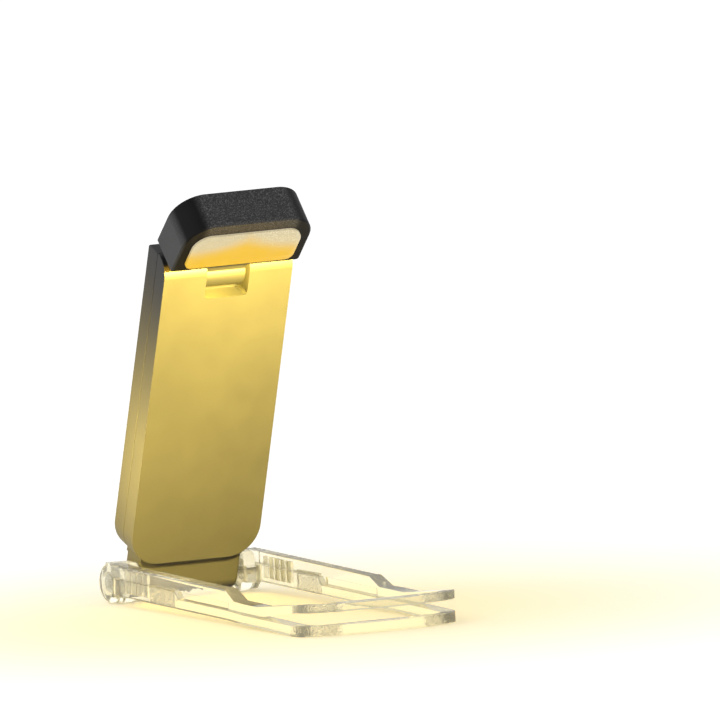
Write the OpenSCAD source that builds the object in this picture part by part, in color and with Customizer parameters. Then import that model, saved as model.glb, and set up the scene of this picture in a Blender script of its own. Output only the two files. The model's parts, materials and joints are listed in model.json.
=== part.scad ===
// Clip-on book light: a slim lamp body with a tilting head, hinged to a clear clip of two jaws.
// Millimetres. X is the width, -Y is the side where the clip opens, +Z is up.
// The lamp stands on its lower jaw: the floor is at zero and the origin is below the middle of its box.

/* [Lamp body] */
// Width of the lamp body
body_w = 36; // [34:0.5:42]
// Length of the lamp body without its foot
body_len = 85.2; // [80:0.2:110]
// Thickness of the lamp body
body_t = 10.4; // [10:0.1:13]
// Radius of the two lower corners
body_corner_r = 8.3; // [7:0.1:9]
// Wall of the case and of the head
case_wall = 1.2; // [1:0.05:1.4]
// Lean of the lamp body, forwards from square to the clip
body_lean = 19.7; // [0:0.1:60]

/* [Head] */
// Length of the head
head_len = 17.7; // [16:0.1:26]
// Radius of the corners at the free end
head_corner_r = 8; // [6:0.1:8.4]
// Gap between the head and the lamp body when they are in line
head_gap = 1.4; // [1.2:0.1:3]
// Distance from the hinge of the head up to the top of the lamp body
head_hinge_drop = 6.4; // [5.8:0.1:7]
// Tilt of the head, forwards from the line of the lamp body
head_tilt = 25.7; // [0:0.1:90]
// Chamfer round the front of the head
head_chamfer = 0.45; // [0.3:0.05:0.7]

/* [Lens] */
// Height that the lens stands proud of the head
lens_proud = 1.05; // [0.4:0.05:1.4]
// Rim of the head on each side of the lens
lens_side_rim = 2.85; // [2.5:0.05:5]
// Rim between the lens and the hinge end of the head
lens_low_rim = 1.6; // [1.5:0.1:2.4]
// Rim between the lens and the free end of the head
lens_high_rim = 3.9; // [3:0.1:5]
// Number of light chips
led_count = 6; // [3:1:7]

/* [Foot and main hinge] */
// Distance that the foot stands in from each side of the lamp body
foot_inset = 3.8; // [3.7:0.1:4.6]
// Distance from the hinge axis up to the case
hinge_drop = 6.9; // [6.8:0.1:9]
// Radius of the two hinge pins
pin_r = 1; // [0.8:0.05:1.2]
// Width of each ear of the lower jaw
inner_ear_w = 3.2; // [2.8:0.1:3.3]
// Width of each ear of the upper jaw
outer_ear_w = 2.9; // [2.8:0.1:3.3]

/* [Clip] */
// Reach of the clip, from the hinge axis to its front edge
clip_reach = 117.5; // [116:0.5:140]
// Thickness of each arm, across the width
arm_w = 3.5; // [3.2:0.1:4.5]
// Height of the arm above the hinge axis
arm_top = 5.4; // [5.2:0.1:6]
// Depth of the arm below the hinge axis
arm_low = 2.3; // [2.1:0.1:2.8]
// Depth of the front bars, front to back
bar_depth = 4.6; // [4:0.1:5]
// Radius of the front corners, outside
clip_corner_r = 7; // [6:0.1:9]
// Extra width of the front part on each side
lip_flare_w = 1; // [0.4:0.1:1.4]
// Height of the mouth between the two front bars
mouth_h = 3.4; // [2.4:0.1:4]

/* [Controls] */
// Width of the power button
button_w = 9; // [7:0.5:12]
// Length of the power button
button_len = 4.6; // [4:0.1:6]
// Travel of the power button
button_travel = 0.25; // [0.15:0.05:0.3]

/* [Hidden] */
$fn = 64;

// Overrun that lets each cut pass the face it opens
over = 0.5;
// Clearances of a running fit, of turning parts side by side, and of parts that pass each other
run_gap = 0.05;
side_gap = 0.3;
swing_gap = 0.4;

// Main hinge, counted outwards along X from the middle
washer_t = 0.3;
washer_r = 3;
foot_end = body_w / 2 - foot_inset;
inner_ear_in = foot_end + washer_t + 2 * run_gap;
inner_ear_out = inner_ear_in + inner_ear_w;
outer_ear_in = inner_ear_out + side_gap;
outer_ear_out = outer_ear_in + outer_ear_w;
inner_ear_r = 5.3;
rest_cut = 0.12;
ear_rim_r = 1.5;
outer_ear_r = inner_ear_r - rest_cut - 2 * run_gap;
ear_corner_r = 2.6;
ear_nose = 6.4;
ear_rim = 0.9;
pin_hold = 6;
pin_in = foot_end - pin_hold;
pin_cap = 0.6;
pin_out = outer_ear_out - pin_cap;
bush_wall = 1.1;
bush_r = pin_r + bush_wall;
bush_len = 5.4;

// Lamp body, counted up from the hinge axis
body_low = hinge_drop;
body_top = body_low + body_len;
foot_t = body_t - 2 * case_wall;
tenon_h = 6;
foot_rim_r = 0.9;
edge_r = 0.6;
seam_w = 0.2;
seam_deep = 0.25;

// Head and its hinge
head_axis = body_top - head_hinge_drop;
head_low = body_top + head_gap;
slot_w = 12;
slot_drop = 5.1;
slot_low = head_axis - slot_drop;
slot_corner_r = 1;
tongue_w = slot_w - 2 * swing_gap;
tongue_r = 3.9;
neck_t = 4.8;
slot_rib = 3;
head_pin_len = slot_w + 2 * slot_rib;
anchor_len = 9;
anchor_t = 1.3;
end_wall = 1.1;
rebate = 0.8;
rebate_deep = 1.2;
front_wall = 1.3;
cover_play = 0.1;

// Lens and light
lens_high_r = 4.6;
lens_low_r = 2.2;
lens_low = head_low + lens_low_rim;
lens_w = body_w - 2 * lens_side_rim;
lens_len = head_len - lens_low_rim - lens_high_rim;
lens_crown = 0.5;
crown_inset = 1.1;
crown_low_inset = 2.4;
flange_w = 0.8;
flange_t = 0.9;
board_t = 1;
led_size = 2.8;
led_t = 0.7;
tray_wall = 0.8;

// Clip, counted forwards from the hinge axis
arm_in = body_w / 2 + swing_gap;
arm_out = arm_in + arm_w;
lip_out = arm_out + lip_flare_w;
jaw_gap = 0.25;
arm_rear = ear_nose - side_gap;
bridge_deep = 1.9;
bridge_top = 1.9;
upper_low = bridge_top + side_gap;
step_y = 41;
arm_edge_r = 0.9;
well_start = 9.2;
well_len = 2.4;
well_rib = 0.9;
well_wall = 0.8;
well_roof = 1.1;
well_count = 5;
groove_end = 72;
groove_deep = 0.5;
groove_h = 1.8;
chamfer_y = 70;
chamfer_len = 6;
thin_top = 3;
parting = 0.1;
flare_y = 90;
lip_run = 1.4;
lip_y = clip_reach - bar_depth - lip_run;
flare_start = chamfer_y + 2 * chamfer_len;
lip_rise = 2.5;
lip_drop = 0.3;
window_corner_r = 3;
bow_r = 75;
window_front = clip_reach - bar_depth;
lip_low = arm_low + lip_drop;
lip_top = thin_top + lip_rise;

// Springs of the clip
wire_r = 0.2;
coil_r = 2.3;
coil_turns = 2.5;
coil_pitch = 0.66;
coil_room = 0.45;
coil_play = 0.1;
rings_per_turn = 8;
wire_sides = 6;
leg_in = 1.2;
leg_out = 2.6;
leg_gap = 0.3;
leg_swing = 0.6;
pocket_r = coil_r + wire_r + coil_room;
pocket_deep = coil_turns * coil_pitch + 2 * wire_r + coil_play;

// Parts in the case
screw_r = 0.8;
screw_head_r = 1.5;
screw_head_t = 0.9;
boss_r = 2;
boss_inset = 3.8;
boss_x = body_w / 2 - boss_inset;
boss_rise = 13.1;
boss_low = body_low + boss_rise;
boss_drop = 9.2;
boss_high = head_axis - boss_drop;
part_gap = 1;
room_low = body_low + tenon_h + part_gap;
room_high = slot_low - case_wall - 2 * part_gap;
battery_share = 0.5;
battery_inset = 6;
battery_w = body_w - 2 * battery_inset;
battery_len = battery_share * (room_high - room_low);
battery_t = 6.4;
battery_low = room_high - battery_len;
pcb_inset = 6.2;
pcb_w = body_w - 2 * pcb_inset;
pcb_low = room_low;
pcb_high = battery_low - part_gap;
pcb_len = pcb_high - pcb_low;
port_w = 8.9;
port_t = 3.26;
port_len = 7.3;
port_wall = 0.3;
port_corner_r = 1.2;
port_tongue_t = 0.7;
port_tongue_w = 6.6;
port_recess = 0.9;
port_in = body_w / 2 - port_len;
port_share = 0.55;
port_up = pcb_low + port_share * pcb_len;
port_tab_inset = 1.6;
port_tab = body_w / 2 - port_tab_inset;
pcb_y = port_t / 2;
button_share = 0.77;
button_up = pcb_low + button_share * pcb_len;
button_lip = 0.7;
lip_t = 0.3;
button_proud = 0.3;
plunger_r = 0.8;
switch_w = 4;
switch_len = 3;
switch_t = 0.65;
light_r = 0.9;
light_share = 0.48;
light_up = pcb_low + light_share * pcb_len;
cable_w = 5;
cable_t = 0.35;
cable_gap = 0.57;
cable_low = button_up + switch_len / 2 + cable_gap;
chip_t = 0.9;
// Left edge, lower edge, width and length of each chip, as shares of the board
chip_shares = [
    [-0.26, 0.26, 0.21, 0.13],
    [-0.26, 0.66, 0.17, 0.13],
    [0.12, 0.1, 0.13, 0.17],
    [0.02, 0.74, 0.3, 0.16]];

// Angle at which the clip leans forwards when it stands on its ears and its front bar
stand_r = inner_ear_r - rest_cut;
stand_lip = lip_low - rest_cut;
clip_pitch = asin(stand_r / norm([clip_reach, stand_lip])) - atan(stand_lip / clip_reach);
front_y = clip_reach * cos(clip_pitch) + lip_top * sin(clip_pitch);
rear_y = inner_ear_r;
origin_y = (front_y - rear_y) / 2;

// Frames of the clip, of the lamp body and of the head
module in_clip() translate([0, origin_y, stand_r]) rotate([clip_pitch, 0, 0]) children();
module in_lamp() in_clip() rotate([body_lean, 0, 0]) children();
module in_head() in_lamp() translate([0, 0, head_axis]) rotate([head_tilt, 0, 0])
    translate([0, 0, -head_axis]) children();
module both_sides() for (side = [0, 1]) mirror([side, 0, 0]) children();
module on_left() mirror([1, 0, 0]) children();

// An outline in X and Z, made a slab from y0 to y1
module slab(y0, y1) translate([0, y1, 0]) rotate([90, 0, 0]) linear_extrude(y1 - y0) children();
// An outline in Y and Z, made a bar from x0 to x1
module bar(x0, x1) translate([x0, 0, 0]) rotate([90, 0, 90]) linear_extrude(x1 - x0) children();
// A round rod along X from x0 to x1
module rod(r, x0, x1) translate([x0, 0, 0]) rotate([0, 90, 0]) cylinder(r = r, h = x1 - x0);
// A disc along X from x0 to x1, with its edge at x1 rounded
module rim_disc(r, x0, x1, rim) translate([x0, 0, 0]) rotate([0, 90, 0]) rotate_extrude() difference() {
    square([r, x1 - x0]);
    translate([r, x1 - x0]) rotate(180) corner(rim);
}
// A box given by its lowest and highest corners
module block(low, high) translate(low) cube(high - low);

// What a rounded corner takes off a square one
module corner(r) difference() {
    translate([-over, -over]) square(r + over);
    translate([r, r]) circle(r);
}
// Rectangle centred on x = 0, from y = 0 up, with its lower and its upper corners rounded
module soft_rect(w, len, r_low, r_high) difference() {
    translate([-w / 2, 0]) square([w, len]);
    both_sides() {
        translate([-w / 2, 0]) corner(r_low);
        translate([-w / 2, len]) mirror([0, 1]) corner(r_high);
    }
}
// Side of the lamp body: square behind, a quarter round in front of the head's hinge
module lamp_side(inset) difference() {
    translate([-body_t / 2 + inset, inset]) square([body_t - 2 * inset, body_len - 2 * inset]);
    translate([-body_t / 2 + inset, body_len - inset]) mirror([0, 1]) corner(body_t / 2 - inset);
}
// Block of the lamp body, inset by a wall, from y0 to y1
module lamp_block(inset, y0, y1) translate([0, 0, body_low]) intersection() {
    slab(y0, y1) translate([0, inset])
        soft_rect(body_w - 2 * inset, body_len - 2 * inset, body_corner_r - inset, edge_r / 2);
    bar(-body_w / 2, body_w / 2) lamp_side(inset);
}
// Groove that shows where the two shells meet
module seam_groove() difference() {
    lamp_block(0, -seam_w / 2, seam_w / 2);
    lamp_block(seam_deep, -seam_w, seam_w);
}
// Walls round the slot of the head's hinge
module slot_walls() block([-slot_w / 2 - slot_rib, -body_t / 2, slot_low - case_wall],
                          [slot_w / 2 + slot_rib, body_t / 2, body_top]);
// Slot in which the head's tongue swings, and the seats of its pin
module slot_cut() {
    slab(-body_t / 2 - over, 0) translate([0, slot_low])
        soft_rect(slot_w, body_top - slot_low + over, slot_corner_r, edge_r);
    block([-slot_w / 2, -over, head_axis], [slot_w / 2, neck_t / 2 + side_gap, body_top + over]);
    translate([0, 0, head_axis]) {
        rod(tongue_r + side_gap, -slot_w / 2, slot_w / 2);
        rod(pin_r, -head_pin_len / 2, head_pin_len / 2);
    }
}
// Room for the foot, in the lower wall of the case
module foot_cut() block([-foot_end, -foot_t / 2, body_low - over],
                        [foot_end, foot_t / 2, body_low + tenon_h]);
// Outline of the charging port, inset by a wall, and a bar of it through the right wall
module port_outline(inset) translate([0, -port_w / 2 + inset])
    soft_rect(port_t - 2 * inset, port_w - 2 * inset, port_corner_r - inset, port_corner_r - inset);
module port_bar(x0, x1, inset) translate([0, 0, port_up]) bar(x0, x1) port_outline(inset);
module at_bosses() for (x = [-boss_x, boss_x], up = [boss_low, boss_high]) translate([x, 0, up])
    rotate([90, 0, 0]) children();

module front_shell() color("#26272a") in_lamp() difference() {
    union() {
        difference() {
            lamp_block(0, -body_t / 2, 0);
            difference() {
                lamp_block(case_wall, -body_t / 2 + case_wall, over);
                slot_walls();
            }
        }
        at_bosses() cylinder(r = boss_r, h = body_t / 2 - case_wall / 2);
    }
    slot_cut();
    foot_cut();
    seam_groove();
    at_bosses() cylinder(r = screw_r, h = body_t - 3 * case_wall, center = true);
    port_bar(port_in - over, body_w, 0);
}

module back_cover() color("#2b2c30") in_lamp() difference() {
    lamp_block(0, 0, body_t / 2);
    difference() {
        lamp_block(case_wall, -over, body_t / 2 - case_wall);
        slot_walls();
        at_bosses() translate([0, 0, -body_t / 2]) cylinder(r = boss_r, h = body_t / 2);
    }
    slot_cut();
    foot_cut();
    seam_groove();
    at_bosses() {
        cylinder(r = screw_r, h = body_t + over, center = true);
        translate([0, 0, -body_t / 2 - over]) cylinder(r = screw_head_r, h = screw_head_t + over);
    }
    port_bar(port_in - over, body_w, 0);
    slab(0, body_t) translate([0, button_up]) button_outline(run_gap);
    translate([0, 0, light_up]) rotate([-90, 0, 0]) cylinder(r = light_r, h = body_t);
}
module button_outline(grow) translate([0, -button_len / 2 - grow])
    soft_rect(button_w + 2 * grow, button_len + 2 * grow, button_len / 2 - edge_r, button_len / 2 - edge_r);

module case_screws() color("silver") in_lamp() at_bosses() translate([0, 0, -body_t / 2 + run_gap])
    difference() {
        union() {
            cylinder(r = screw_head_r - run_gap, h = screw_head_t - run_gap);
            cylinder(r = screw_r - run_gap, h = body_t - 2 * case_wall);
        }
        for (turn = [0, 90]) rotate(turn) cube([screw_head_r, screw_r / 3, screw_head_t], center = true);
    }

module foot() color("#26272a") in_lamp() difference() {
    union() {
        both_sides() rim_disc(foot_t / 2, 0, foot_end, foot_rim_r);
        difference() {
            block([-foot_end, -foot_t / 2, 0], [foot_end, foot_t / 2, body_low + tenon_h]);
            both_sides() translate([0, 0, -foot_t]) linear_extrude(body_low + foot_t)
                for (y = [0, 1]) mirror([0, y]) translate([-foot_end, -foot_t / 2]) corner(foot_rim_r);
        }
    }
    both_sides() {
        rod(bush_r, foot_end - bush_len, foot_end + over);
        rod(pin_r + run_gap, pin_in - over, foot_end);
    }
}

module bush() in_lamp() difference() {
    rod(bush_r, foot_end - bush_len, foot_end);
    rod(pin_r + run_gap, foot_end - bush_len - over, foot_end + over);
}
module left_bush() color("ivory") on_left() bush();
module right_bush() color("ivory") bush();

module hinge_pin() in_clip() rod(pin_r, pin_in, pin_out);
module left_hinge_pin() color("silver") on_left() hinge_pin();
module right_hinge_pin() color("silver") hinge_pin();

module washer() in_clip() difference() {
    rod(washer_r, foot_end + run_gap, foot_end + run_gap + washer_t);
    rod(pin_r, foot_end - over, inner_ear_in + over);
}
module left_washer() color("gainsboro") on_left() washer();
module right_washer() color("gainsboro") washer();

// Front of the clip in plan: a bowed bar that runs smoothly into its two round corners
corner_x = lip_out - clip_corner_r;
corner_y = clip_reach - bow_r + sqrt(pow(bow_r - clip_corner_r, 2) - pow(corner_x, 2));
module front_plan() {
    both_sides() translate([corner_x, -corner_y]) circle(clip_corner_r);
    translate([-lip_out, -corner_y]) square([2 * lip_out, corner_y - flare_start]);
    intersection() {
        translate([0, bow_r - clip_reach]) circle(bow_r, $fn = 160);
        polygon([[0, bow_r - clip_reach], [-corner_x, -corner_y] * 2 - [0, bow_r - clip_reach],
                 [corner_x, -corner_y] * 2 - [0, bow_r - clip_reach]]);
    }
}
// Plan of both jaws, with -Y to the front: two arms, a wider front part and a bowed front bar
module clip_plan() difference() {
    union() {
        polygon([[-outer_ear_out, 0], [outer_ear_out, 0], [arm_out, -ear_nose], [-arm_out, -ear_nose]]);
        translate([-arm_out, -flare_start]) square([2 * arm_out, flare_start - ear_nose]);
        polygon([[-arm_out, -chamfer_y], [arm_out, -chamfer_y],
                 [lip_out, -flare_start], [-lip_out, -flare_start]]);
        front_plan();
    }
    translate([0, -window_front]) soft_rect(2 * arm_in, clip_reach, window_corner_r, edge_r / 2);
}

// Row of wells in the facing sides of the arms, with ribs between them, from z0 up to z1
module arm_wells(z0, z1) both_sides() for (i = [0 : well_count - 1])
    translate([arm_in + well_wall, -well_start - i * (well_len + well_rib) - well_len, z0])
        cube([arm_w - 2 * well_wall, well_len, z1 - z0]);

// Side of the lower jaw's arms and front bar, as Y and Z
module lower_side() polygon([[-arm_rear, -arm_low], [-arm_rear, bridge_top], [-step_y, bridge_top],
    [-step_y - bridge_top, parting], [-clip_reach - over, parting],
    [-clip_reach - over, -lip_low], [-lip_y, -lip_low], [-flare_y, -arm_low]]);
// Side of the lower jaw's ears: round behind, with a nose that carries the arm
module inner_ear_side() difference() {
    union() {
        circle(inner_ear_r);
        difference() {
            translate([-ear_nose, -arm_low]) square([ear_nose, inner_ear_r + arm_low]);
            translate([-ear_nose, inner_ear_r]) mirror([0, 1]) corner(ear_corner_r);
        }
        translate([-arm_rear - bridge_deep, -arm_low]) square([arm_rear + bridge_deep, bridge_top + arm_low]);
    }
    circle(pin_r);
}
module lower_jaw() color("#dfe6e4", 0.45) difference() {
    in_clip() {
        intersection() {
            translate([0, 0, -inner_ear_r]) linear_extrude(2 * inner_ear_r) clip_plan();
            bar(-lip_out, lip_out) lower_side();
        }
        both_sides() {
            bar(inner_ear_in, inner_ear_out) inner_ear_side();
            block([inner_ear_in + ear_rim, -arm_rear - bridge_deep, -arm_low],
                  [arm_out, -arm_rear, bridge_top]);
        }
    }
    block([-clip_reach, -clip_reach, -inner_ear_r], [clip_reach, clip_reach, 0]);
    in_clip() {
        both_sides() translate([0, coil_r, 0])
            rod(wire_r + run_gap, inner_ear_out - leg_in - run_gap, outer_ear_in);
        arm_wells(well_roof - arm_low, bridge_top + over);
    }
}

// Side of the upper jaw's arms and front bar, as Y and Z
module upper_side() polygon([[0, upper_low], [0, arm_top], [-chamfer_y, arm_top],
    [-chamfer_y - chamfer_len, thin_top], [-flare_y, thin_top], [-lip_y, lip_top],
    [-clip_reach - over, lip_top], [-clip_reach - over, parting + mouth_h], [-lip_y, parting + mouth_h],
    [-flare_y, parting + jaw_gap], [-step_y - upper_low, parting + jaw_gap], [-step_y, upper_low]]);
module outer_ear_nose() difference() {
    translate([-outer_ear_r, -outer_ear_r + side_gap]) square([outer_ear_r, outer_ear_r]);
    translate([-outer_ear_r, -outer_ear_r + side_gap]) corner(ear_corner_r);
}
// Section of the upper arms, as X and Z, with its outer top edge rounded
module arm_section() difference() {
    translate([-arm_out, 0]) square([2 * arm_out, arm_top]);
    both_sides() translate([-arm_out, arm_top]) mirror([0, 1]) corner(arm_edge_r);
}
module upper_jaw() color("#e6edeb", 0.45) in_clip() difference() {
    union() {
        intersection() {
            linear_extrude(2 * arm_top) clip_plan();
            bar(-lip_out, lip_out) upper_side();
            union() {
                slab(-chamfer_y, 0) arm_section();
                block([-lip_out, -clip_reach, 0], [lip_out, -chamfer_y, arm_top + lip_rise]);
            }
        }
        both_sides() {
            rim_disc(outer_ear_r, outer_ear_in, outer_ear_out, ear_rim_r);
            bar(outer_ear_in, outer_ear_out - ear_rim_r) outer_ear_nose();
            block([outer_ear_in, -arm_rear - bridge_deep, upper_low],
                  [outer_ear_out - ear_rim_r, 0, arm_top]);
        }
    }
    arm_wells(upper_low - over, arm_top - well_roof);
    both_sides() {
        rod(pin_r + run_gap, inner_ear_out, pin_out + run_gap);
        rod(pocket_r, inner_ear_out, outer_ear_in + pocket_deep);
        block([inner_ear_out, -coil_r - wire_r - leg_gap, -leg_out - wire_r - leg_gap],
              [outer_ear_in + pocket_deep, -coil_r + wire_r + leg_swing, 0]);
        block([arm_out - groove_deep, -groove_end, upper_low - groove_h],
              [lip_out, -step_y - upper_low, upper_low]);
    }
}

// Path of a jaw spring's wire: a leg into the lower jaw, the turns round the pin, a leg into the upper jaw
function coil_point(i) = let (a = 360 * i / rings_per_turn)
    [outer_ear_in + wire_r + coil_pitch * i / rings_per_turn, coil_r * cos(a), coil_r * sin(a)];
coil_rings = coil_turns * rings_per_turn;
function spring_path() = concat(
    [coil_point(0) - [leg_in + wire_r + side_gap, 0, 0]],
    [for (i = [0 : coil_rings]) coil_point(i)],
    [coil_point(coil_rings) - [0, 0, leg_out]]);
function unit(v) = v / norm(v);
function tangent(p, i) = unit(p[min(i + 1, len(p) - 1)] - p[max(i - 1, 0)]);
function ring(p, i, r, sides) = let (
        t = tangent(p, i),
        side = unit(cross(t, [0, p[i][1], p[i][2]])),
        out = cross(side, t))
    [for (k = [0 : sides - 1]) p[i] + r * (cos(360 * k / sides) * out + sin(360 * k / sides) * side)];
// Unbroken wire along a path, as a closed mesh
module wire(p, r, sides) {
    n = len(p);
    points = [for (i = [0 : n - 1]) each ring(p, i, r, sides)];
    walls = [for (i = [0 : n - 2], k = [0 : sides - 1])
        let (a = i * sides + k, b = i * sides + (k + 1) % sides)
        each [[a, a + sides, b + sides], [a, b + sides, b]]];
    last = (n - 1) * sides;
    ends = [for (k = [1 : sides - 2]) each [[0, k, k + 1], [last, last + k + 1, last + k]]];
    polyhedron(points, concat(walls, ends));
}
// Least gap between turns of a spring's wire, measured on its points
spring_gap = let (p = spring_path(), n = len(p))
    min([for (i = [0 : n - 1], j = [i + rings_per_turn / 2 : n - 1]) norm(p[j] - p[i])]) - 2 * wire_r;
echo(spring_gap = spring_gap);
module left_jaw_spring() color("silver") on_left() in_clip() wire(spring_path(), wire_r, wire_sides);
module right_jaw_spring() color("silver") in_clip() wire(spring_path(), wire_r, wire_sides);

module battery() color("lightsteelblue") in_lamp()
    block([-battery_w / 2, -body_t / 2 + case_wall, battery_low],
          [battery_w / 2, -body_t / 2 + case_wall + battery_t, battery_low + battery_len]);

module main_board() color("seagreen") in_lamp() {
    block([-pcb_w / 2, pcb_y, pcb_low], [pcb_w / 2, pcb_y + board_t, pcb_high]);
    block([0, pcb_y, port_up - port_w / 2 - edge_r],
          [port_tab, pcb_y + board_t, port_up + port_w / 2 + edge_r]);
}
module board_chips() color("#202020") in_lamp()
    for (c = chip_shares)
        block([c[0] * pcb_w, pcb_y - chip_t, pcb_low + c[1] * pcb_len],
              [(c[0] + c[2]) * pcb_w, pcb_y, pcb_low + (c[1] + c[3]) * pcb_len]);
module charging_port() color("silver") in_lamp() {
    difference() {
        port_bar(port_in, body_w / 2, 0);
        port_bar(port_in + port_wall, body_w, port_wall);
    }
    block([port_in, -port_tongue_t / 2, port_up - port_tongue_w / 2],
          [body_w / 2 - port_recess, port_tongue_t / 2, port_up + port_tongue_w / 2]);
}

module tact_switch() color("#303030") in_lamp() difference() {
    block([-switch_w / 2, pcb_y + board_t, button_up - switch_len / 2],
          [switch_w / 2, pcb_y + board_t + switch_t, button_up + switch_len / 2]);
    translate([0, 0, button_up]) rotate([-90, 0, 0]) cylinder(r = plunger_r + run_gap, h = body_t);
}
plunger_low = pcb_y + board_t + button_travel + run_gap;
button_low = body_t / 2 - case_wall - lip_t - run_gap;
module switch_plunger() color("#e0e0d8") in_lamp() translate([0, plunger_low, button_up]) rotate([-90, 0, 0])
    cylinder(r = plunger_r, h = button_low - plunger_low);
module power_button() color("#3a3b3f") in_lamp() {
    slab(button_low, button_low + lip_t) translate([0, button_up]) button_outline(button_lip);
    slab(button_low + lip_t, body_t / 2 + button_proud) translate([0, button_up]) button_outline(-run_gap);
}
module status_light() color("white") in_lamp() translate([0, pcb_y + board_t, light_up]) rotate([-90, 0, 0])
    cylinder(r = light_r, h = body_t / 2 - pcb_y - board_t);
module led_cable() color("white") in_lamp() translate([0, pcb_y + board_t, 0])
    block([-cable_w / 2, 0, cable_low], [cable_w / 2, cable_t, slot_low - case_wall]);

module head_pin() color("silver") in_lamp() translate([0, 0, head_axis])
    rod(pin_r, -head_pin_len / 2, head_pin_len / 2);
module head_washers() color("gainsboro") in_lamp() translate([0, 0, head_axis]) both_sides() difference() {
    rod(tongue_r - case_wall, tongue_w / 2 + run_gap, slot_w / 2);
    rod(pin_r, 0, slot_w);
}
// Tongue of the head: a barrel on the pin, a neck and an anchor plate inside the head
module head_tongue() color("#232427") in_head() difference() {
    union() {
        translate([0, 0, head_axis]) rod(tongue_r, -tongue_w / 2, tongue_w / 2);
        block([-tongue_w / 2, -neck_t / 2, head_axis], [tongue_w / 2, neck_t / 2, head_low + end_wall]);
        block([-tongue_w / 2 - end_wall, neck_t / 2 - anchor_t, head_low + end_wall],
              [tongue_w / 2 + end_wall, neck_t / 2, head_low + end_wall + anchor_len]);
    }
    translate([0, 0, head_axis]) rod(pin_r + run_gap, -slot_w, slot_w);
}

// Outline of the head in X and Z, inset by a wall
module head_outline(inset) translate([0, head_low + inset])
    soft_rect(body_w - 2 * inset, head_len - 2 * inset, edge_r, head_corner_r - inset);
module head_housing() color("#1f2023") in_head() difference() {
    union() {
        slab(-body_t / 2 + head_chamfer, body_t / 2) head_outline(0);
        hull() {
            slab(-body_t / 2 + head_chamfer, -body_t / 2 + head_chamfer + run_gap) head_outline(0);
            slab(-body_t / 2, -body_t / 2 + head_chamfer) head_outline(head_chamfer);
        }
    }
    slab(-body_t / 2 + front_wall, body_t) head_outline(end_wall);
    slab(body_t / 2 - rebate_deep, body_t) head_outline(rebate);
    slab(-body_t, 0) lens_outline(-run_gap);
    block([-tongue_w / 2, -neck_t / 2, head_low - over], [tongue_w / 2, neck_t / 2, head_low + 2 * end_wall]);
}
module head_back() color("#26272a") in_head()
    slab(body_t / 2 - rebate_deep, body_t / 2) head_outline(rebate + cover_play);

module lens_outline(inset) translate([0, lens_low + inset])
    soft_rect(lens_w - 2 * inset, lens_len - 2 * inset, lens_low_r - inset / 2, lens_high_r - inset);
module lens() color("#ffe9b0") in_head() {
    slab(-body_t / 2 - lens_proud + lens_crown, -body_t / 2 + front_wall) lens_outline(0);
    slab(-body_t / 2 + front_wall, -body_t / 2 + front_wall + flange_t) lens_outline(-flange_w / 2);
    hull() {
        slab(-body_t / 2 - lens_proud + lens_crown, -body_t / 2) lens_outline(0);
        slab(-body_t / 2 - lens_proud, -body_t / 2) translate([0, lens_low + crown_low_inset])
            soft_rect(lens_w - 2 * crown_inset, lens_len - crown_low_inset - crown_inset,
                      lens_low_r / 2, lens_high_r - crown_inset);
    }
}
tray_y0 = -body_t / 2 + front_wall + flange_t;
led_board_y = neck_t / 2 - anchor_t - board_t;
module reflector() color("white") in_head() difference() {
    slab(tray_y0, led_board_y) lens_outline(-flange_w / 2);
    slab(tray_y0 - over, led_board_y + over) lens_outline(tray_wall);
}
module led_board() color("#f2f2ee") in_head()
    slab(led_board_y, led_board_y + board_t) lens_outline(-flange_w / 2);
module leds() color("gold") in_head()
    for (i = [0 : led_count - 1])
        translate([(i + 0.5 - led_count / 2) * (lens_w - 2 * tray_wall) / led_count - led_size / 2,
                   led_board_y - led_t, lens_low + lens_len / 2 - led_size / 2])
            cube([led_size, led_t, led_size]);

lower_jaw();
upper_jaw();
left_hinge_pin();
right_hinge_pin();
left_jaw_spring();
right_jaw_spring();
left_washer();
right_washer();
foot();
left_bush();
right_bush();
front_shell();
back_cover();
case_screws();
battery();
main_board();
board_chips();
charging_port();
tact_switch();
switch_plunger();
power_button();
status_light();
led_cable();
head_pin();
head_washers();
head_tongue();
head_housing();
head_back();
reflector();
led_board();
leds();
lens();
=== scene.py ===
# %% [markdown]
# # A clip-on book light
# A slim black reading light leans over its clear clip, with its head tilted and its lens lit.
# The solids come from the packed frame, in metres, and each is a real piece of the light. This
# script gives them their finishes: grained black plastic, clear moulded plastic, steel, and a
# warm frosted lens. It also rounds the moulded edges, as a mould does, and sets up the studio.

import bpy
import json
import math
from mathutils import Matrix, Vector


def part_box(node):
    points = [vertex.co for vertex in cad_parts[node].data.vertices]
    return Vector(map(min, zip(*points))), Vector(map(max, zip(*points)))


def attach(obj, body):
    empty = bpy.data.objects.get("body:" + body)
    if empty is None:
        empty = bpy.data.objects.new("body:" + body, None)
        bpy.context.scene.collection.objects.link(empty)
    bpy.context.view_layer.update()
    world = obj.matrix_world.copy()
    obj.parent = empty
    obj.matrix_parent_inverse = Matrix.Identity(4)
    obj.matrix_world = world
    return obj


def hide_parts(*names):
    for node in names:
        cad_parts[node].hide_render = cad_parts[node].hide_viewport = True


MM = 0.001

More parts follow.
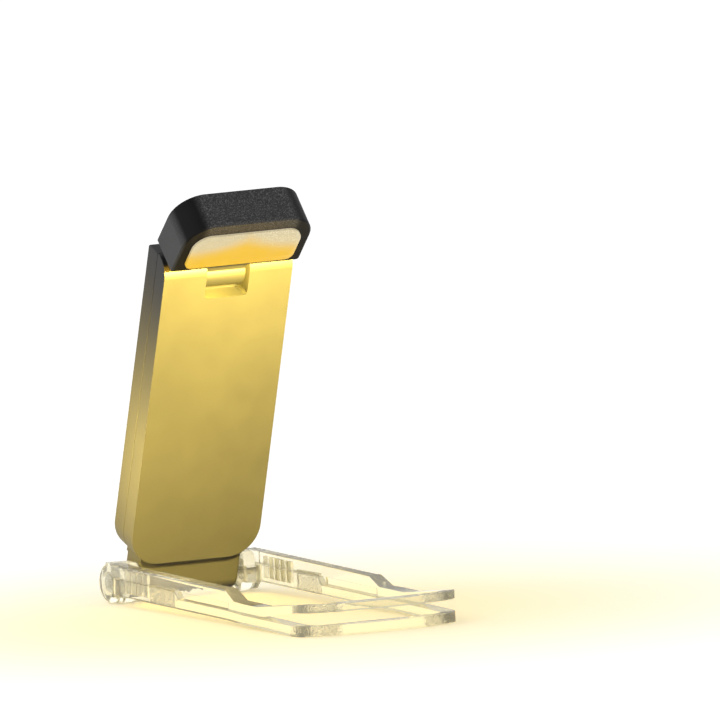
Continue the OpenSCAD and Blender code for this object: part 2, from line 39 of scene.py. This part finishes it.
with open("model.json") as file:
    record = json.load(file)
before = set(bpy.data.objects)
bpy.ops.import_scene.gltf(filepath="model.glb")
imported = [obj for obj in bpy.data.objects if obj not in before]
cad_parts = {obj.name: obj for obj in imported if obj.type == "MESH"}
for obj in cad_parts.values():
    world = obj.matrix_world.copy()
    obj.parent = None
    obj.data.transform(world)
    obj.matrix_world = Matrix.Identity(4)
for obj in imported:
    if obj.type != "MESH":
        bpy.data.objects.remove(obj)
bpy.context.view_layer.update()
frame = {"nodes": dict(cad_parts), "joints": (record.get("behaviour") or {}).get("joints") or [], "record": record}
record = frame["record"]
nodes = frame["nodes"]
joints = {joint["name"]: joint for joint in frame["joints"]}
body_of_node = {
    name: body
    for body, members in record["behaviour"]["bodies"].items()
    for name in members
}
scene = bpy.context.scene

# %% [markdown]
# The photograph was taken with a very long lens, from a little left of the lens side and
# slightly above the table. Such a lens flattens the view until no perspective is left. A camera
# far away would show the same, but an orthographic one says it plainly: its scale is the width
# that the picture spans at the object.

# %% Camera
VIEW_AZIMUTH = math.radians(-25.813)
VIEW_ELEVATION = math.radians(6.127)
VIEW_ROLL = math.radians(-2.841)
VIEW_CENTRE = Vector((45.40, 40.37, 57.03)) * MM
VIEW_SPAN = 181.45 * MM
VIEW_DISTANCE = 0.6
VIEW_NEAREST = 0.01
VIEW_FARTHEST = 20.0

ahead = Vector((
    -math.sin(VIEW_AZIMUTH) * math.cos(VIEW_ELEVATION),
    math.cos(VIEW_AZIMUTH) * math.cos(VIEW_ELEVATION),
    -math.sin(VIEW_ELEVATION),
))
level = Vector((math.cos(VIEW_AZIMUTH), math.sin(VIEW_AZIMUTH), 0.0))
overhead = level.cross(ahead)
right = level * math.cos(VIEW_ROLL) + overhead * math.sin(VIEW_ROLL)
up = overhead * math.cos(VIEW_ROLL) - level * math.sin(VIEW_ROLL)

camera_data = bpy.data.cameras.new("camera")
camera_data.type = "ORTHO"
camera_data.ortho_scale = VIEW_SPAN
camera_data.clip_start = VIEW_NEAREST
camera_data.clip_end = VIEW_FARTHEST
camera = bpy.data.objects.new("camera", camera_data)
turn = Matrix((right, up, -ahead)).transposed().to_4x4()
camera.matrix_world = Matrix.Translation(VIEW_CENTRE - ahead * VIEW_DISTANCE) @ turn
scene.collection.objects.link(camera)
scene.camera = camera
print("the picture spans:", round(VIEW_SPAN / MM, 1), "mm")

# %% [markdown]
# A material is a small network of nodes. Written as links and sockets it is hard to read, so one
# class wraps an output socket and lets Python's own operators build the maths: `mask * 0.5 + 0.2`
# adds two Math nodes.

# %% Socket maths
class Wire:
    """One output socket, with the operators of ordinary numbers."""

    def __init__(self, net, socket):
        self.net = net
        self.socket = socket

    def _math(self, operation, first, second):
        return self.net.node("ShaderNodeMath", {"operation": operation}, {0: first, 1: second})

    def __add__(self, other):
        return self._math("ADD", self, other)

    __radd__ = __add__

    def __sub__(self, other):
        return self._math("SUBTRACT", self, other)

    def __rsub__(self, other):
        return self._math("SUBTRACT", other, self)

    def __mul__(self, other):
        return self._math("MULTIPLY", self, other)

    __rmul__ = __mul__

    def power(self, exponent):
        return self._math("POWER", self, exponent)

    def size(self):
        """The value without its sign."""
        return self._math("ABSOLUTE", self, 0.0)


print("a wire knows:", [name for name in vars(Wire) if name.startswith("__r")])

# %% [markdown]
# Two more classes hold the networks. `Net` is any tree of nodes, such as the world's. `Paint` is
# a material, with short methods for what the finishes below share: noise, soft steps and bumps.
# Every pattern reads Object coordinates, so it has a real size and moves with its piece.

# %% The node helpers
MIX_FACTOR, MIX_FIRST, MIX_SECOND, MIX_COLOUR = 0, 6, 7, 2


class Net:
    """A tree of nodes under construction."""

    def __init__(self, tree):
        self.tree = tree

    def node(self, kind, settings=None, inputs=None, output=0):
        """A new node: its settings come first, then its sockets. One output comes back."""
        made = self.tree.nodes.new(kind)
        for key, value in (settings or {}).items():
            setattr(made, key, value)
        for key, value in (inputs or {}).items():
            self.feed(made.inputs[key], value)
        return Wire(self, made.outputs[output])

    def wires(self, kind, names, inputs=None):
        """Several outputs of one new node."""
        made = self.node(kind, None, inputs).socket.node
        return [Wire(self, made.outputs[name]) for name in names]

    def feed(self, socket, value):
        """Links a wire to the socket, or sets a plain value on it."""
        if isinstance(value, Wire):
            self.tree.links.new(value.socket, socket)
        else:
            socket.default_value = value

    def mix(self, factor, first, second):
        """A colour between the first and the second."""
        inputs = {MIX_FACTOR: factor, MIX_FIRST: first, MIX_SECOND: second}
        return self.node("ShaderNodeMix", {"data_type": "RGBA"}, inputs, MIX_COLOUR)


class Paint(Net):
    """A material under construction, with its Principled shader."""

    def __init__(self, name):
        self.material = bpy.data.materials.new(name)
        self.material.use_nodes = True
        super().__init__(self.material.node_tree)
        self.shader = self.tree.nodes["Principled BSDF"]

    def set(self, **sockets):
        """Feeds the shader. Base_Color stands for its socket Base Color."""
        for name, value in sockets.items():
            self.feed(self.shader.inputs[name.replace("_", " ")], value)

    def place(self):
        """Object coordinates, in metres."""
        return self.node("ShaderNodeTexCoord", output="Object")

    def axes(self):
        """The three Object coordinates, each on its own wire."""
        return self.wires("ShaderNodeSeparateXYZ", "XYZ", {"Vector": self.place()})

    def noise(self, size, detail=3.0, roughness=0.55, place=None):
        """Noise with features of about this size, in metres."""
        return self.node("ShaderNodeTexNoise", None, {
            "Vector": place or self.place(),
            "Scale": 1.0 / size,
            "Detail": detail,
            "Roughness": roughness,
        })

    def range(self, value, low, high, to_low=0.0, to_high=1.0):
        """A soft step: to_low where the value is low, to_high where it is high."""
        return self.node("ShaderNodeMapRange", {"interpolation_type": "SMOOTHSTEP"}, {
            "Value": value,
            "From Min": low,
            "From Max": high,
            "To Min": to_low,
            "To Max": to_high,
        })

    def band(self, value, low, high, soft):
        """1 between low and high, 0 outside, with soft edges."""
        rise = self.range(value, low, low + soft)
        fall = self.range(value, high - soft, high, 1.0, 0.0)
        return rise * fall

    def bump(self, height, distance):
        """A normal that is tilted as by a relief of this many metres."""
        inputs = {"Height": height, "Distance": distance, "Strength": 1.0}
        return self.node("ShaderNodeBump", None, inputs)


def rgb(red, green, blue):
    return (red, green, blue, 1.0)


def grey(value):
    return rgb(value, value, value)


print("a paint can make:", [name for name in vars(Paint) if not name.startswith("_")])

# %% [markdown]
# The case is black plastic with a fine spark-eroded grain, a field of tiny pits that catch the
# light. Real pits would take millions of faces, so the grain is a bump of very small noise, with
# a second, larger noise that breaks up the gloss. The head's grain is coarser, and its sparkle is
# painted: specks of lighter grey in its colour stand for glints. The photograph shows a dark band
# down each of its two rounded corners, and that band is painted shade, a dark reflection: there the
# near-black plastic turns to metal, which mirrors only as much light as its colour lets it, and
# has no specks.

# %% Black grained plastic
GRAIN = 0.16 * MM
SPARK = 0.36 * MM
CLOUD = 9 * MM
PAINTED_GLINT_LIGHTER = 0.13
PAINTED_GLINTS_THIN_FROM, PAINTED_GLINTS_THIN_TO = 11 * MM, 16 * MM
CORNER_FROM, CORNER_TO = 11.5 * MM, 14 * MM
FLANK_FROM, FLANK_TO = 17.2 * MM, 17.9 * MM


def black_plastic(name, shade, gloss, grain_depth, sparkle=0.0, corner_painted_shade=0.0):
    paint = Paint(name)
    fine = paint.noise(GRAIN, detail=2.0)
    cloud = paint.noise(CLOUD)
    colour = paint.mix(cloud, grey(shade * 0.9), grey(shade * 1.1))
    if sparkle:
        across = paint.axes()[0].size()
        # The dark band down each rounded corner is painted shade: metal there shows a dark reflection.
        painted_dark_band = paint.range(across, CORNER_FROM, CORNER_TO, 0.0, corner_painted_shade)
        painted_dark_band = painted_dark_band * paint.range(across, FLANK_FROM, FLANK_TO, 1.0, 0.0)
        # Lighter grey specks in the colour are painted glints, thinner towards the corners.
        thin = paint.range(across, PAINTED_GLINTS_THIN_FROM, PAINTED_GLINTS_THIN_TO, sparkle, sparkle * 0.2)
        speck = paint.range(paint.noise(SPARK, detail=2.0, roughness=0.7), 0.44, 0.70) * thin
        colour = paint.mix(speck * (1 - painted_dark_band), colour, grey(shade + PAINTED_GLINT_LIGHTER))
        paint.set(Metallic=painted_dark_band)
    paint.set(
        Base_Color=colour,
        Roughness=gloss + (cloud - 0.5) * 0.08 + (fine - 0.5) * 0.10,
        Normal=paint.bump(fine, grain_depth),
    )
    return paint.material


case_black = black_plastic("black_satin_plastic", 0.013, 0.52, 0.014 * MM)
head_black = black_plastic(
    "black_sparkling_plastic", 0.012, 0.46, 0.026 * MM, sparkle=0.9, corner_painted_shade=0.95,
)
button_black = black_plastic("button_satin_plastic", 0.030, 0.34, 0.006 * MM)
print("black plastics:", case_black.name, head_black.name, button_black.name)

# %% [markdown]
# The clip is one clear plastic. Clear plastic shows mostly what is behind it, bent at every edge,
# so alpha alone would look like smoke: the light must really pass through, and the shader
# transmits it. Where the photograph sparkles, near the corners of the front bars and faintly
# before the arms' roots, the moulding is frosted, which is a rougher patch with a coarse bump.

# %% Clear plastic
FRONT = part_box("lower_jaw")[0].y
AXLE_Y = joints["lamp_fold"]["pos_m"][1]
LIP_FROM, LIP_TO = FRONT + 4 * MM, FRONT + 8 * MM
LIP_INSIDE, LIP_OUTSIDE = 11 * MM, 26 * MM
ROOT_FRONT, ROOT_BACK = AXLE_Y - 41 * MM, AXLE_Y - 26 * MM
ROOT_TOP_FROM, ROOT_TOP_TO = 6.6 * MM, 7.2 * MM
ARM_FROM, ARM_TO = 18 * MM, 19 * MM


def clear_plastic():
    paint = Paint("clear_moulded_plastic")
    x, y, z = paint.axes()
    beside = x.size()
    lips = paint.range(y, LIP_FROM, LIP_TO, 1.0, 0.0)
    lips = lips * paint.band(beside, LIP_INSIDE, LIP_OUTSIDE, 2 * MM)
    roots = paint.band(y, ROOT_FRONT, ROOT_BACK, 1 * MM)
    roots = roots * paint.range(z, ROOT_TOP_FROM, ROOT_TOP_TO, 1.0, 0.0)
    frost = lips + roots * paint.range(beside, ARM_FROM, ARM_TO) * 0.4
    ripple = paint.noise(6 * MM, detail=2.0)
    spark = paint.noise(0.80 * MM, detail=2.0, roughness=0.8)
    paint.set(
        # The cream of the base colour is partly the plastic's own tint and partly painted warm light of the lens.
        Base_Color=rgb(0.93, 0.915, 0.82),
        Roughness=paint.range(ripple, 0.35, 0.75, 0.02, 0.07) + frost * 0.22,
        IOR=1.40,
        Transmission_Weight=0.86,
        Normal=paint.bump(ripple * 0.05 + spark * frost * 0.9, 1.0 * MM),
    )
    return paint.material


clear = clear_plastic()
print("clear plastic, frosted to", round((LIP_TO - FRONT) / MM, 1), "mm behind its front")

# %% [markdown]
# Steel wire and pins are drawn through a die, so their scratches run along them. A picture of
# scratches would do, but noise that is stretched along X, the way that the pins lie, has no
# seams. The pieces inside the case are seldom seen, so one function with a colour and a gloss
# makes all their plastics, each with a faint cloud and a fine bump.

# %% Steel, and the plastics of the small pieces
SCRATCH = 0.12 * MM
ALONG_THE_PINS = (0.08, 1.0, 1.0)


def steel():
    paint = Paint("drawn_steel")
    settings = {"Vector": paint.place(), "Scale": ALONG_THE_PINS}
    scratch = paint.noise(
        SCRATCH, detail=2.0, place=paint.node("ShaderNodeMapping", None, settings),
    )
    paint.set(
        Base_Color=paint.mix(scratch, grey(0.52), grey(0.66)),
        Metallic=1.0,
        Roughness=paint.range(scratch, 0.3, 0.7, 0.16, 0.34),
        Normal=paint.bump(scratch, 0.004 * MM),
    )
    return paint.material


def plain_plastic(name, colour, gloss):
    paint = Paint(name)
    cloud = paint.noise(1.5 * MM)
    darker = rgb(*[part * 0.9 for part in colour[:3]])
    paint.set(
        Base_Color=paint.mix(cloud, darker, colour),
        Roughness=gloss + (cloud - 0.5) * 0.1,
        Normal=paint.bump(paint.noise(0.3 * MM), 0.004 * MM),
    )
    return paint.material


drawn_steel = steel()
bearing = plain_plastic("bearing_plastic", rgb(0.80, 0.78, 0.70), 0.40)
foil_wrap = plain_plastic("cell_wrap", rgb(0.45, 0.52, 0.60), 0.30)
solder_mask = plain_plastic("solder_mask", rgb(0.03, 0.20, 0.09), 0.28)
chip_black = plain_plastic("chip_black", rgb(0.025, 0.025, 0.027), 0.5)
plain_white = plain_plastic("plain_white", rgb(0.85, 0.85, 0.82), 0.45)
light_chip = plain_plastic("light_chip", rgb(0.90, 0.72, 0.22), 0.35)
print("materials so far:", len(bpy.data.materials))

# %% [markdown]
# The lens glows. It is amber low down, with a soft hill of amber at the middle, and cream above,
# where small specks sparkle. Lamps behind a clear lens would give noise and no such drawing, so
# the glow is an emission colour that changes over the lens, at one fixed strength.

# %% Lit lens
lens_low, lens_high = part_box("lens")
lens_middle = (lens_low + lens_high) / 2
HILL_HALF_TOP = 2 * MM
HILL_SLOPE = 44
AMBER_PAINTED_GLOW, AMBER_GLOW = rgb(0.78, 0.49, 0.03), rgb(0.76, 0.46, 0.03)
CREAM_PAINTED_GLOW, CREAM_GLOW = rgb(0.62, 0.54, 0.36), rgb(0.58, 0.49, 0.30)
SPECK_GLOW = rgb(1.0, 0.94, 0.66)


def lit_lens():
    paint = Paint("lit_frosted_lens")
    x, y, z = paint.axes()
    sparkle = paint.noise(0.40 * MM, detail=2.0, roughness=0.7)
    cloud = paint.noise(3.0 * MM, detail=2.0)
    height = paint.range(z, lens_low.z, lens_high.z)
    hill = height + (x.size() - HILL_HALF_TOP) * HILL_SLOPE
    hill = paint.range(hill, 0.25, 0.92, 1.0, 0.0)
    hill = hill + paint.range(height, 0.0, 0.6, 1.0, 0.0) * (1 - hill)
    glow = paint.mix(hill * (0.75 + cloud * 0.4), CREAM_GLOW, AMBER_GLOW)
    speck = paint.range(sparkle, 0.48, 0.66) * (1 - hill)
    speck = speck * paint.range(x, -9 * MM, 9 * MM, 0.35, 1.0)
    paint.set(
        # The base colour carries the same amber hill and cream: the glow is painted into the lens's colour as
        # well.
        Base_Color=paint.mix(hill, CREAM_PAINTED_GLOW, AMBER_PAINTED_GLOW),
        Roughness=0.42 + (sparkle - 0.5) * 0.2,
        Emission_Color=paint.mix(speck, glow, SPECK_GLOW),
        Emission_Strength=0.48,
        Normal=paint.bump(sparkle, 0.03 * MM),
    )
    return paint.material


lens_glow = lit_lens()
print("the lens is", [round(side / MM, 1) for side in lens_high - lens_low], "mm")

# %% [markdown]
# Each solid now takes its finish. The solids keep their shapes, and only their material slots
# change, so that the joints and fits of the frame stay true.

# %% Dress the nodes
PIECES_OF_FINISH = [
    (clear, ["lower_jaw", "upper_jaw"]),
    (case_black, ["foot", "front_shell", "back_cover", "head_back", "head_tongue"]),
    (head_black, ["head_housing"]),
    (button_black, ["power_button"]),
    (drawn_steel, [
        "left_hinge_pin", "right_hinge_pin", "left_jaw_spring", "right_jaw_spring",
        "head_pin", "case_screws", "charging_port",
    ]),
    (bearing, [
        "left_washer", "right_washer", "left_bush", "right_bush", "head_washers",
        "switch_plunger",
    ]),
    (foil_wrap, ["battery"]),
    (solder_mask, ["main_board"]),
    (chip_black, ["board_chips", "tact_switch"]),
    (plain_white, ["reflector", "led_board", "led_cable", "status_light"]),
    (light_chip, ["leds"]),
    (lens_glow, ["lens"]),
]
dressed = []
for finish, pieces in PIECES_OF_FINISH:
    for name in pieces:
        nodes[name].data.materials.clear()
        nodes[name].data.materials.append(finish)
        dressed.append(name)
print("dressed:", len(dressed), "left bare:", sorted(set(nodes) - set(dressed)))

# %% [markdown]
# No moulded edge is sharp. A node's mesh must stay as it is, so a copy of each outer piece is
# rounded and then stands for its node. The solids come as loose triangles: the copy's doubles
# are merged and its flat faces dissolved, and a Bevel modifier rounds the edges that are left.
# The clear jaws gain most, because a rounded edge of clear plastic draws the bright and dark
# lines by which the eye finds it.

# %% Round the moulded edges
MERGE_WITHIN = 0.002 * MM
FLAT_WITHIN = math.radians(0.5)
SHARP_FROM = math.radians(28.0)
SMOOTH_WITHIN = math.radians(35.0)
BEVEL_STEPS = 3


def rounded(name, radius):
    """A copy of a node with its edges rounded, which then stands for the node."""
    copy = bpy.data.objects.new(name + "_moulded", nodes[name].data.copy())
    scene.collection.objects.link(copy)
    bpy.ops.object.select_all(action="DESELECT")
    copy.select_set(True)
    bpy.context.view_layer.objects.active = copy
    bpy.ops.object.mode_set(mode="EDIT")
    bpy.ops.mesh.select_all(action="SELECT")
    bpy.ops.mesh.remove_doubles(threshold=MERGE_WITHIN)
    bpy.ops.mesh.dissolve_limited(angle_limit=FLAT_WITHIN)
    bpy.ops.object.mode_set(mode="OBJECT")
    edge = copy.modifiers.new("edge", "BEVEL")
    edge.width = radius
    edge.segments = BEVEL_STEPS
    edge.limit_method = "ANGLE"
    edge.angle_limit = SHARP_FROM
    edge.use_clamp_overlap = True
    bpy.ops.object.modifier_apply(modifier="edge")
    bpy.ops.object.shade_smooth_by_angle(angle=SMOOTH_WITHIN)
    weigh = copy.modifiers.new("weigh", "WEIGHTED_NORMAL")
    weigh.keep_sharp = True
    bpy.ops.object.modifier_apply(modifier="weigh")
    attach(copy, body_of_node[name])
    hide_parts(name)
    print(copy.name, len(copy.data.polygons), "faces")
    return copy


EDGE_RADIUS = {
    "front_shell": 0.25 * MM,
    "back_cover": 0.25 * MM,
    "head_housing": 0.18 * MM,
    "head_back": 0.15 * MM,
    "foot": 0.20 * MM,
    "power_button": 0.12 * MM,
    "head_tongue": 0.20 * MM,
    "lower_jaw": 0.30 * MM,
    "upper_jaw": 0.30 * MM,
}
moulded = {name: rounded(name, radius) for name, radius in EDGE_RADIUS.items()}
print("rounded:", len(moulded))

# %% [markdown]
# The photograph has a plain white ground. The floor is a large pale sheet, with a painted pool of
# warm light round the foot of the light, as its lens would throw. More light would whiten it, and
# would bleach the object too.
# Instead a little emission lifts it to white for the camera, the metal and the clear plastic
# alone, and the floor still takes the object's soft shadow.

# %% Floor
FLOOR_WIDTH = 6.0
FLOOR_LIFT = 0.42
FLOOR_WHITE, FLOOR_PAINTED_LAMPLIGHT = grey(0.94), rgb(0.94, 0.82, 0.50)
PAINTED_POOL_CENTRE = (0.0, -0.01, 0.0)
PAINTED_POOL_RADIUS = 0.24
DISTANCE_VALUE = 1
RAYS_THAT_SEE = ("Is Camera Ray", "Is Glossy Ray", "Is Transmission Ray")

bpy.ops.object.select_all(action="DESELECT")
bpy.ops.mesh.primitive_plane_add(size=FLOOR_WIDTH, location=(0.0, 0.0, 0.0))
floor = bpy.context.object
floor.name = "floor"


def floor_paint():
    """Lifted to white where it is seen, with a painted pool of warm light round the foot of the light."""
    paint = Paint("pale_floor")
    inputs = {0: paint.place(), 1: PAINTED_POOL_CENTRE}
    settings = {"operation": "DISTANCE"}
    away = paint.node("ShaderNodeVectorMath", settings, inputs, DISTANCE_VALUE)
    painted_light_pool = paint.range(away, 0.0, PAINTED_POOL_RADIUS, 1.0, 0.0)
    # The warm pool is painted light of the lamp, mixed into the floor's colour.
    colour = paint.mix(painted_light_pool.power(1.4), FLOOR_WHITE, FLOOR_PAINTED_LAMPLIGHT)
    paint.set(Base_Color=colour, Roughness=0.9, Specular_IOR_Level=0.1)
    seen = sum(paint.wires("ShaderNodeLightPath", RAYS_THAT_SEE))
    inputs = {"Color": colour, "Strength": seen * FLOOR_LIFT}
    lift = paint.node("ShaderNodeEmission", None, inputs)
    plain = Wire(paint, paint.shader.outputs[0])
    both = paint.node("ShaderNodeAddShader", None, {0: plain, 1: lift})
    paint.feed(paint.tree.nodes["Material Output"].inputs["Surface"], both)
    return paint.material


floor.data.materials.append(floor_paint())
print("the floor is", FLOOR_WIDTH, "m wide")

# %% [markdown]
# The world is what every ray meets that misses all else. Here it answers each kind of ray in its
# own way: white to the camera, a warm cream through clear plastic, which gives the clip its tint,
# and a plain grey to all that it lights.

# %% World
WORLD_LIGHT, WORLD_CREAM, WORLD_WHITE = grey(0.50), rgb(0.80, 0.74, 0.54), grey(1.0)

world = bpy.data.worlds.new("studio")
scene.world = world
world.use_nodes = True
sky_net = Net(world.node_tree)
kinds = ("Is Camera Ray", "Is Transmission Ray")
to_camera, through_clear = sky_net.wires("ShaderNodeLightPath", kinds)
sky_colour = sky_net.mix(through_clear, WORLD_LIGHT, WORLD_CREAM)
sky_colour = sky_net.mix(to_camera, sky_colour, WORLD_WHITE)
sky_net.feed(world.node_tree.nodes["Background"].inputs["Color"], sky_colour)
print("the world lights with a grey of", WORLD_LIGHT[0])

# %% [markdown]
# Wide, soft lights suit a product shot. One sun with a very wide disc stands behind and to the
# left, and lights the floor and the top of the head evenly, which a lamp close by would not. One
# soft box at the left front draws the side.

# %% Studio lights
def place_lamp(name, data, centre, target):
    """Hangs a lamp at the centre and turns it to the target."""
    lamp = bpy.data.objects.new(name, data)
    lamp.location = centre
    lamp.rotation_euler = (Vector(target) - Vector(centre)).to_track_quat("-Z", "Y").to_euler()
    scene.collection.objects.link(lamp)
    return lamp


def wide_sun(name, centre, target, strength, width):
    """A sun with a wide disc: even light over the whole floor, with soft shadows."""
    data = bpy.data.lights.new(name, "SUN")
    data.energy = strength
    data.angle = math.radians(width)
    return place_lamp(name, data, centre, target)


def soft_box(name, centre, target, size, power, colour=(1.0, 1.0, 1.0)):
    """A rectangle of light, with its power in watts."""
    data = bpy.data.lights.new(name, "AREA")
    data.shape = "RECTANGLE"
    data.size, data.size_y = size
    data.energy = power
    data.color = colour
    return place_lamp(name, data, centre, target)


heart = Vector((0.0, 0.02, 0.06))
BEHIND_LEFT = heart + Vector((-0.5, 0.6, 0.8))
FRONT_LEFT = heart + Vector((-0.8, -0.5, 0.3))
wide_sun("even_light", BEHIND_LEFT, heart, strength=0.9, width=60.0)
soft_box("fill", FRONT_LEFT, heart, size=(0.4, 0.6), power=1.5)
print("studio lamps:", len(bpy.data.lights))

# %% [markdown]
# The lens throws its warm light down the case. Black plastic sends back so little that the real
# light would blind the table, so these lamps shine on the case or on the head alone, by light
# linking, and they ride with it when it folds. Two hang before the case and stand for the lens.
# The case leans forward, so the lower of them mirrors in its upper part, and makes that a deeper
# amber.

# %% The lens's light on the case
AMBER = (1.0, 0.67, 0.08)
DEEP_AMBER = (1.0, 0.54, 0.0)
PALE_AMBER = (1.0, 0.77, 0.17)
GOLD = (1.0, 0.74, 0.16)
LENS_LAMP_SIZE = (0.030, 0.014)


def shines_on(lamps, group, names, body):
    """Makes the lamps light only these moulded pieces, and ride with the body."""
    takers = bpy.data.collections.new(group)
    for name in names:
        takers.objects.link(moulded[name])
    for lamp in lamps:
        lamp.light_linking.receiver_collection = takers
        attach(lamp, body)


lens_corner = Vector((0.0, lens_low.y, lens_low.z))
shell_low, shell_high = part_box("front_shell")
case_middle = (shell_low + shell_high) / 2
LOW_BEFORE = lens_corner + Vector((0.018, -0.060, -0.022))
HIGH_BEFORE = lens_corner + Vector((0.016, -0.085, 0.012))
deep = soft_box("deep_lens_light", LOW_BEFORE, case_middle, LENS_LAMP_SIZE, 0.42, DEEP_AMBER)
pale = soft_box("pale_lens_light", HIGH_BEFORE, case_middle, LENS_LAMP_SIZE, 4.4, PALE_AMBER)
print("the lens's corner is", round(lens_corner.z / MM, 1), "mm above the floor")

# %% [markdown]
# Three small lamps finish the glow. One warms the left side of the case, where the photograph
# has a warm haze, and its spread is narrowed so that the light fades towards the head. One edges
# the rim of the lens. A very small one fills the slot of the head's hinge, without shadows,
# because the head and the slot's own walls would hide the slot from it.

# %% The small warm lamps
CASE_SIDE = Vector((-0.018, 0.045, 0.034))
LEFT_OF_CASE = Vector((-0.066, 0.028, 0.034))
side = soft_box("side_light", LEFT_OF_CASE, CASE_SIDE, (0.02, 0.02), 0.26, GOLD)
side.data.spread = math.radians(105.0)
case_pieces = ["front_shell", "back_cover", "foot", "head_tongue"]
shines_on([deep, pale, side], "takes_lens_light", case_pieces, "lamp")

UNDER_RIM = lens_corner + Vector((0.0, -0.005, -0.009))
rim = soft_box("rim_light", UNDER_RIM, lens_middle, (0.034, 0.004), 0.0022, DEEP_AMBER)
shines_on([rim], "takes_rim_light", ["head_housing"], "head")

head_pivot = Vector(joints["head_tilt"]["pos_m"])
BESIDE_SLOT = head_pivot + Vector((-3.5, -3.9, 2.0)) * MM
SLOT_FLOOR = head_pivot + Vector((3.0, -0.7, -5.7)) * MM
slot = soft_box("slot_light", BESIDE_SLOT, SLOT_FLOOR, (0.004, 0.004), 0.03, AMBER)
slot.data.use_shadow = False
shines_on([slot], "takes_slot_light", ["front_shell"], "lamp")
print("all lamps:", len(bpy.data.lights))

# %% [markdown]
# The view transform is Standard, so a colour comes out as it was written.

# %% Colour
scene.view_settings.view_transform = "Standard"
